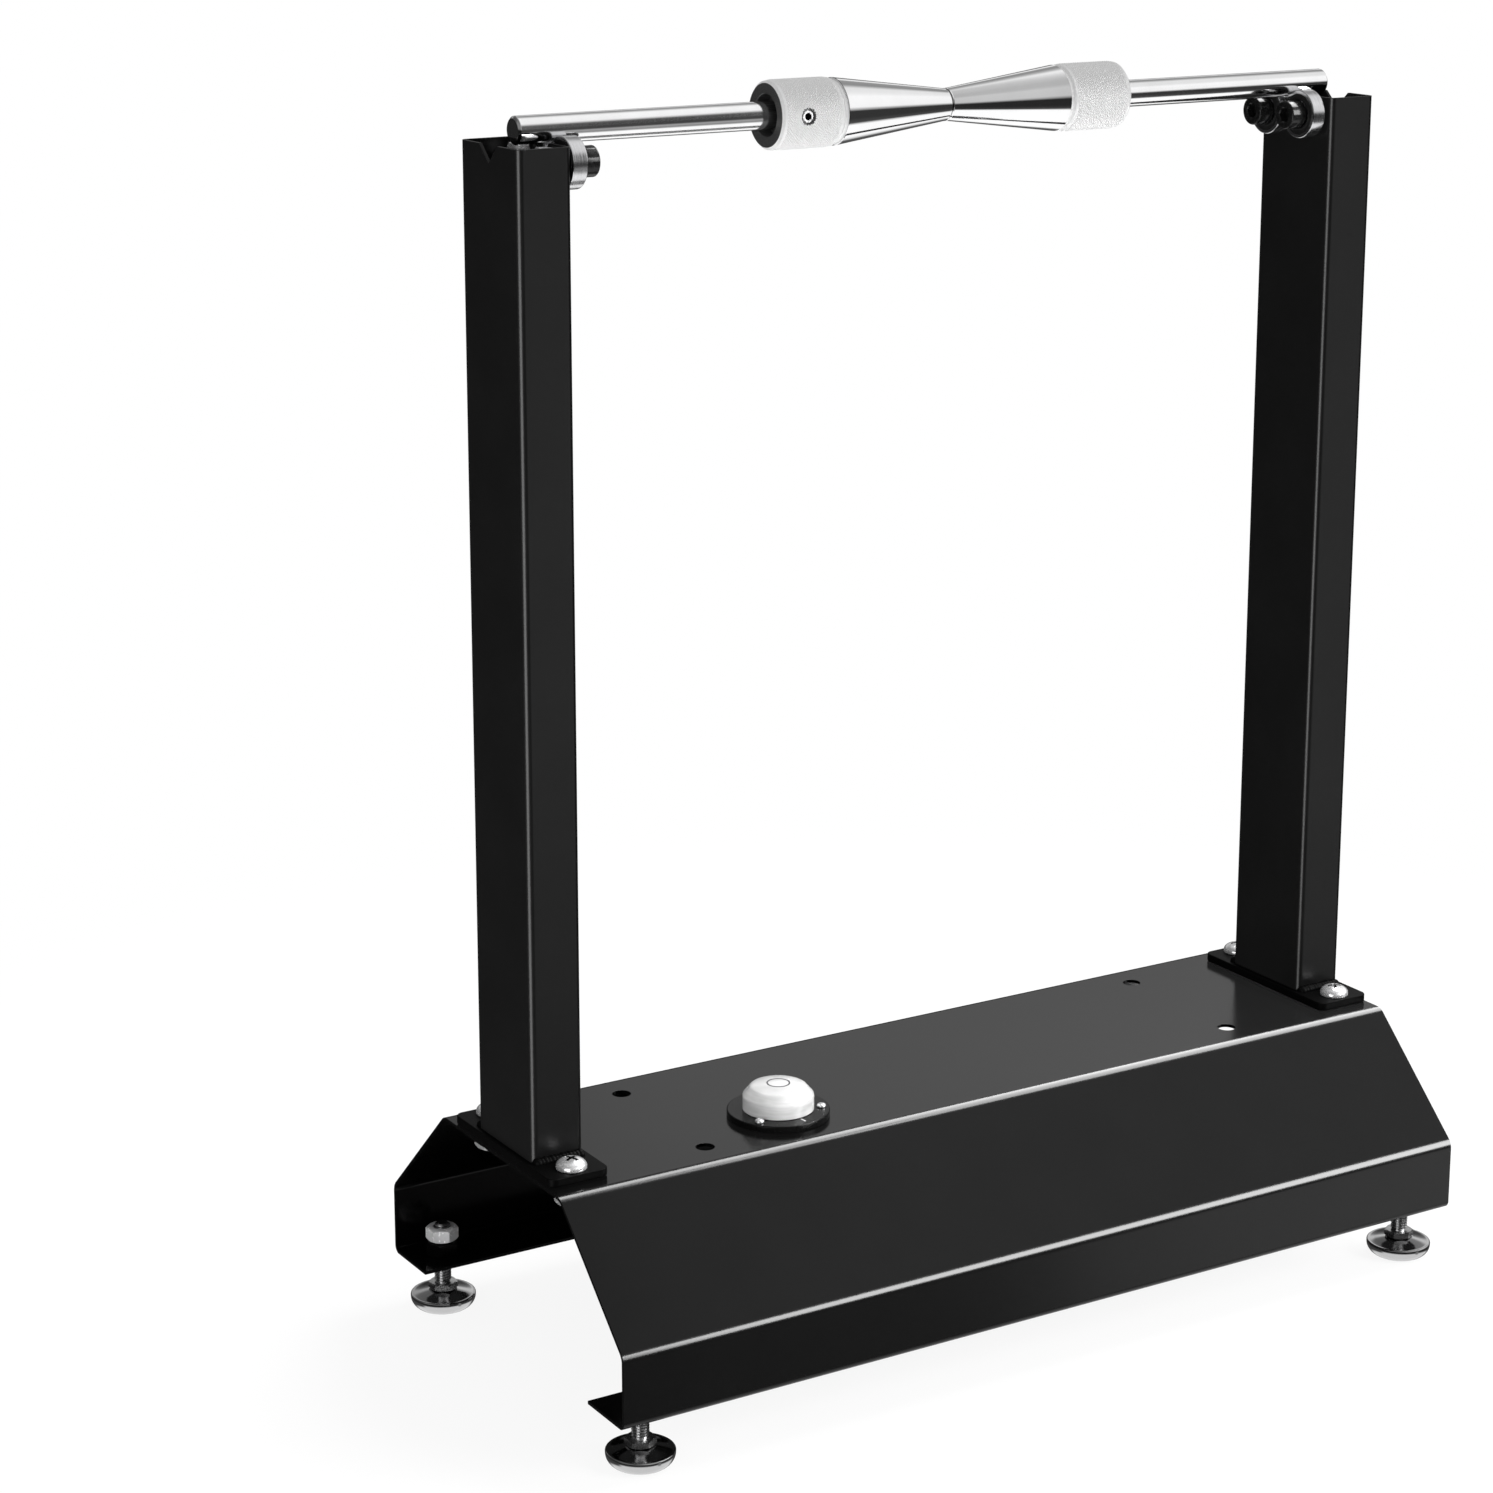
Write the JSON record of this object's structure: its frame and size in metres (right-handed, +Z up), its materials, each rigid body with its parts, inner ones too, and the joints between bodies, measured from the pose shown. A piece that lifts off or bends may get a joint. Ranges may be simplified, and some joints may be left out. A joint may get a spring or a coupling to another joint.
{
  "type": "motorcycle wheel balancer",
  "caption": "Bench stand for static wheel balancing: a folded base on levelling feet, columns with bearing rollers, and a loose axle with sliding centring cones.",
  "frame": {"origin": "on the floor, midway between the two columns and between the front and back feet", "axes": "+X along the axle towards the right column, +Y to the back, +Z up; the level lies at the front left"},
  "size_m": [0.45, 0.215, 0.564],
  "materials": {
    "base_channel": "semi-gloss black powder coat",
    "column": "semi-gloss black powder coat",
    "foot_plate": "semi-gloss black powder coat over a welded edge",
    "column_screw": "bright zinc",
    "column_nut": "bright zinc",
    "foot_pad": "polished chrome",
    "foot_stud": "bright zinc",
    "foot_lock_nut": "bright zinc",
    "axle_rod": "hard chrome, ground",
    "cone": "chrome, turned cone and knurled collar",
    "set_screw": "black oxide",
    "bearing_outer": "ground bearing steel",
    "bearing_inner": "ground bearing steel",
    "bearing_balls": "polished steel balls in a pressed cage",
    "bearing_seal": "black seal",
    "bearing_bolt": "black oxide",
    "bearing_nut": "bright zinc",
    "level_base": "black",
    "level_vial": "clear acrylic",
    "level_fluid": "clear pale fluid",
    "level_screw": "bright zinc"
  },
  "bodies": {
    "stand": {"base_channel": "base_channel", "column_left": "column", "column_right": "column", "foot_plate_left": "foot_plate", "foot_plate_right": "foot_plate", "column_screw_left_front": "column_screw", "column_screw_left_back": "column_screw", "column_screw_right_front": "column_screw", "column_screw_right_back": "column_screw", "column_nut_left_front": "column_nut", "column_nut_left_back": "column_nut", "column_nut_right_front": "column_nut", "column_nut_right_back": "column_nut", "foot_lock_nut_left_front": "foot_lock_nut", "foot_lock_nut_left_back": "foot_lock_nut", "foot_lock_nut_right_front": "foot_lock_nut", "foot_lock_nut_right_back": "foot_lock_nut", "bearing_inner_left_front": "bearing_inner", "bearing_inner_left_back": "bearing_inner", "bearing_inner_right_front": "bearing_inner", "bearing_inner_right_back": "bearing_inner", "bearing_bolt_left_front": "bearing_bolt", "bearing_bolt_left_back": "bearing_bolt", "bearing_bolt_right_front": "bearing_bolt", "bearing_bolt_right_back": "bearing_bolt", "bearing_nut_left_front": "bearing_nut", "bearing_nut_left_back": "bearing_nut", "bearing_nut_right_front": "bearing_nut", "bearing_nut_right_back": "bearing_nut", "level_base": "level_base", "level_vial": "level_vial", "level_fluid": "level_fluid", "level_screw_1": "level_screw", "level_screw_2": "level_screw", "level_screw_3": "level_screw"},
    "axle": {"axle_rod": "axle_rod"},
    "cone_left": {"cone_left": "cone"},
    "set_screw_left": {"set_screw_left": "set_screw"},
    "cone_right": {"cone_right": "cone"},
    "set_screw_right": {"set_screw_right": "set_screw"},
    "roller_left_front": {"bearing_outer_left_front": "bearing_outer", "bearing_seal_left_front": "bearing_seal"},
    "cage_left_front": {"bearing_balls_left_front": "bearing_balls"},
    "roller_left_back": {"bearing_outer_left_back": "bearing_outer", "bearing_seal_left_back": "bearing_seal"},
    "cage_left_back": {"bearing_balls_left_back": "bearing_balls"},
    "roller_right_front": {"bearing_outer_right_front": "bearing_outer", "bearing_seal_right_front": "bearing_seal"},
    "cage_right_front": {"bearing_balls_right_front": "bearing_balls"},
    "roller_right_back": {"bearing_outer_right_back": "bearing_outer", "bearing_seal_right_back": "bearing_seal"},
    "cage_right_back": {"bearing_balls_right_back": "bearing_balls"},
    "foot_left_front": {"foot_pad_left_front": "foot_pad"},
    "stud_left_front": {"foot_stud_left_front": "foot_stud"},
    "foot_left_back": {"foot_pad_left_back": "foot_pad"},
    "stud_left_back": {"foot_stud_left_back": "foot_stud"},
    "foot_right_front": {"foot_pad_right_front": "foot_pad"},
    "stud_right_front": {"foot_stud_right_front": "foot_stud"},
    "foot_right_back": {"foot_pad_right_back": "foot_pad"},
    "stud_right_back": {"foot_stud_right_back": "foot_stud"}
  },
  "joints": [
    {"name": "axle_spin", "type": "hinge", "parent": "stand", "child": "axle", "pos_m": [0, 0, 0.549], "axis": [1, 0, 0], "continuous": true},
    {"name": "cone_slide_left", "type": "slide", "parent": "axle", "child": "cone_left", "axis": [-1, 0, 0], "range_m": [0, 0.085]},
    {"name": "set_screw_travel_left", "type": "slide", "parent": "cone_left", "child": "set_screw_left", "axis": [0, -1, 0], "range_m": [0, 0.002]},
    {"name": "cone_slide_right", "type": "slide", "parent": "axle", "child": "cone_right", "axis": [1, 0, 0], "range_m": [0, 0.085]},
    {"name": "set_screw_travel_right", "type": "slide", "parent": "cone_right", "child": "set_screw_right", "axis": [0, 1, 0], "range_m": [0, 0.002]},
    {"name": "roller_spin_left_front", "type": "hinge", "parent": "stand", "child": "roller_left_front", "pos_m": [-0.1922, -0.0116, 0.53617], "axis": [1, 0, 0], "continuous": true},
    {"name": "cage_spin_left_front", "type": "hinge", "parent": "stand", "child": "cage_left_front", "pos_m": [-0.1922, -0.0116, 0.53617], "axis": [1, 0, 0], "continuous": true},
    {"name": "roller_spin_left_back", "type": "hinge", "parent": "stand", "child": "roller_left_back", "pos_m": [-0.1922, 0.0116, 0.53617], "axis": [1, 0, 0], "continuous": true},
    {"name": "cage_spin_left_back", "type": "hinge", "parent": "stand", "child": "cage_left_back", "pos_m": [-0.1922, 0.0116, 0.53617], "axis": [1, 0, 0], "continuous": true},
    {"name": "roller_spin_right_front", "type": "hinge", "parent": "stand", "child": "roller_right_front", "pos_m": [0.1922, -0.0116, 0.53617], "axis": [1, 0, 0], "continuous": true},
    {"name": "cage_spin_right_front", "type": "hinge", "parent": "stand", "child": "cage_right_front", "pos_m": [0.1922, -0.0116, 0.53617], "axis": [1, 0, 0], "continuous": true},
    {"name": "roller_spin_right_back", "type": "hinge", "parent": "stand", "child": "roller_right_back", "pos_m": [0.1922, 0.0116, 0.53617], "axis": [1, 0, 0], "continuous": true},
    {"name": "cage_spin_right_back", "type": "hinge", "parent": "stand", "child": "cage_right_back", "pos_m": [0.1922, 0.0116, 0.53617], "axis": [1, 0, 0], "continuous": true},
    {"name": "foot_height_left_front", "type": "slide", "parent": "stand", "child": "foot_left_front", "axis": [0, 0, 1], "range_m": [-0.006, 0.01]},
    {"name": "stud_turn_left_front", "type": "hinge", "parent": "foot_left_front", "child": "stud_left_front", "pos_m": [-0.2085, -0.092, 0], "axis": [0, 0, 1], "range_deg": [-1730, 2882]},
    {"name": "foot_height_left_back", "type": "slide", "parent": "stand", "child": "foot_left_back", "axis": [0, 0, 1], "range_m": [-0.006, 0.01]},
    {"name": "stud_turn_left_back", "type": "hinge", "parent": "foot_left_back", "child": "stud_left_back", "pos_m": [-0.2085, 0.092, 0], "axis": [0, 0, 1], "range_deg": [-1730, 2882]},
    {"name": "foot_height_right_front", "type": "slide", "parent": "stand", "child": "foot_right_front", "axis": [0, 0, 1], "range_m": [-0.006, 0.01]},
    {"name": "stud_turn_right_front", "type": "hinge", "parent": "foot_right_front", "child": "stud_right_front", "pos_m": [0.2085, -0.092, 0], "axis": [0, 0, 1], "range_deg": [-1730, 2882]},
    {"name": "foot_height_right_back", "type": "slide", "parent": "stand", "child": "foot_right_back", "axis": [0, 0, 1], "range_m": [-0.006, 0.01]},
    {"name": "stud_turn_right_back", "type": "hinge", "parent": "foot_right_back", "child": "stud_right_back", "pos_m": [0.2085, 0.092, 0], "axis": [0, 0, 1], "range_deg": [-1730, 2882]}
  ],
  "couplings": [
    {"joint": "roller_spin_left_front", "follows": "axle_spin", "ratio": -0.54546},
    {"joint": "cage_spin_left_front", "follows": "axle_spin", "ratio": -0.34288},
    {"joint": "roller_spin_left_back", "follows": "axle_spin", "ratio": -0.54546},
    {"joint": "cage_spin_left_back", "follows": "axle_spin", "ratio": -0.34288},
    {"joint": "roller_spin_right_front", "follows": "axle_spin", "ratio": -0.54546},
    {"joint": "cage_spin_right_front", "follows": "axle_spin", "ratio": -0.34288},
    {"joint": "roller_spin_right_back", "follows": "axle_spin", "ratio": -0.54546},
    {"joint": "cage_spin_right_back", "follows": "axle_spin", "ratio": -0.34288},
    {"joint": "stud_turn_left_front", "follows": "foot_height_left_front", "rad_per_m": 5026.5},
    {"joint": "stud_turn_left_back", "follows": "foot_height_left_back", "rad_per_m": 5026.5},
    {"joint": "stud_turn_right_front", "follows": "foot_height_right_front", "rad_per_m": 5026.5},
    {"joint": "stud_turn_right_back", "follows": "foot_height_right_back", "rad_per_m": 5026.5}
  ]
}
